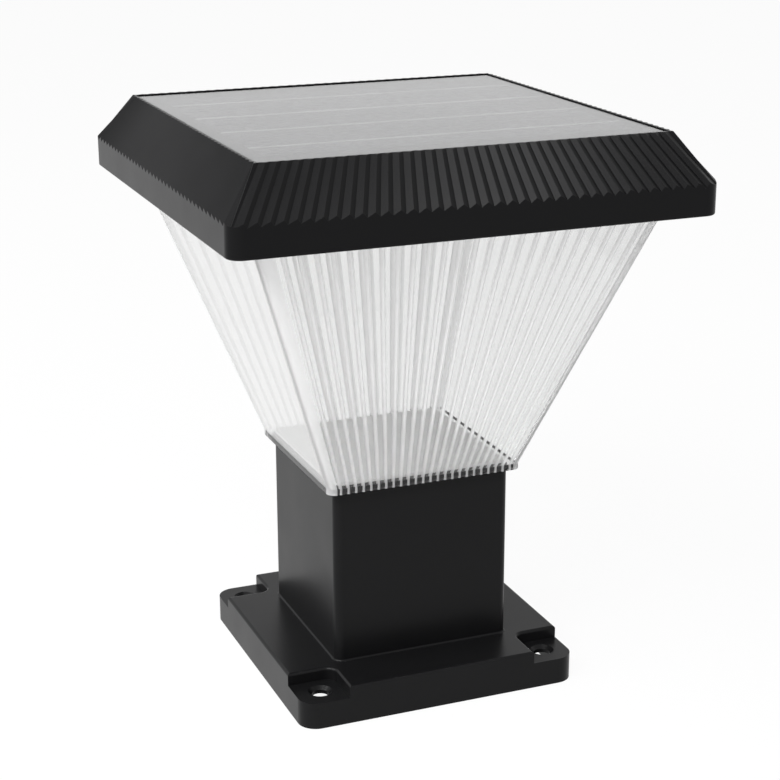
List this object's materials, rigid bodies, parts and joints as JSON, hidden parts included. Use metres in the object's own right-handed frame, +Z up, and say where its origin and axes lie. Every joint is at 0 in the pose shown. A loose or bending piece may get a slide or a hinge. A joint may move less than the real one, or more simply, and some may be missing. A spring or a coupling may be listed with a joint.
{
  "type": "solar pillar light",
  "caption": "Square solar pillar light with a ribbed black cap, clear fluted lens that narrows downwards, and a bolt-down square pedestal.",
  "frame": {"origin": "middle of the flange's underside, at the height of the surface it stands on", "axes": "+Z up, -Y out of the fluted front face, +X to the right seen from the front"},
  "size_m": [0.2, 0.2, 0.2424],
  "materials": {
    "pedestal": "fine satin",
    "cap": "fine satin",
    "lens": "clear, smooth",
    "white_plastic": "satin",
    "white_board": "satin",
    "green_board": "satin",
    "panel_cover": "clear, smooth",
    "cells": "glossy",
    "ribbons": "satin",
    "backsheet": "satin",
    "seal": "matt",
    "inner_black": "satin",
    "screw_steel": "satin",
    "contacts": "polished",
    "led": "glossy",
    "battery": "glossy",
    "lead_red": "satin",
    "lead_black": "satin",
    "button": "satin"
  },
  "bodies": {
    "light": {"post_base": "pedestal", "post_seal": "seal", "lens": "lens", "floor_plate": "white_plastic", "post_screws": "screw_steel", "cap_housing": "cap", "panel_cover": "panel_cover", "panel_cells": "cells", "panel_ribbons": "ribbons", "panel_backsheet": "backsheet", "panel_adhesive": "seal", "panel_junction": "inner_black", "panel_leads": "lead_black", "cap_base": "inner_black", "cap_screws": "screw_steel", "lens_gasket": "seal", "lens_screws": "screw_steel", "led_tray": "white_plastic", "tray_screws": "screw_steel", "led_board": "white_board", "led_chips": "led", "led_screws": "screw_steel", "led_leads": "lead_red", "battery_holder": "inner_black", "battery_cells": "battery", "battery_contacts": "contacts", "battery_pads": "seal", "battery_leads": "lead_red", "control_board": "green_board", "board_screws": "screw_steel", "lead_sockets": "white_plastic", "controller_chip": "inner_black", "inductor": "inner_black", "capacitor": "battery", "switch_body": "inner_black", "switch_bezel": "inner_black", "switch_seal": "seal", "switch_leads": "lead_black"},
    "button": {"switch_button": "button"}
  },
  "joints": [
    {"name": "switch_push", "type": "slide", "parent": "light", "child": "button", "axis": [0, 0, 1], "range_m": [0, 0.0015], "stiffness_N_per_m": 600, "springref_m": -0.001}
  ]
}
